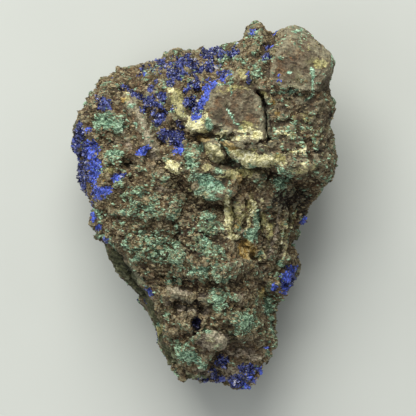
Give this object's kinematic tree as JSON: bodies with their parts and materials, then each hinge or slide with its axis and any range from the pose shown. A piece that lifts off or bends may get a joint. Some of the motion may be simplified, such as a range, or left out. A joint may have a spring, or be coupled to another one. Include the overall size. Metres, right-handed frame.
{
  "type": "azurite specimen",
  "caption": "Rough hand specimen of brown limonite rock with azurite and malachite crusts, a flat-faced block, ledges and a small lined vug, lying on its back.",
  "frame": {"origin": "middle of the bounding box in X and Y, at the surface that the stone rests on", "axes": "+Z out of the display face, +Y along the length from the narrow foot to the broad head, +X to the right seen from the face"},
  "size_m": [0.0748, 0.103, 0.0488],
  "materials": {
    "gossan": "rough earthy limonite and goethite rock with green malachite grains",
    "azurite": "glassy dark blue azurite crystals and bright blue crust",
    "malachite": "silky pale green malachite crust and grains"
  },
  "bodies": {
    "root": {"azurite_specimen": "gossan", "vug_azurite_crust": "azurite"}
  },
  "joints": []
}
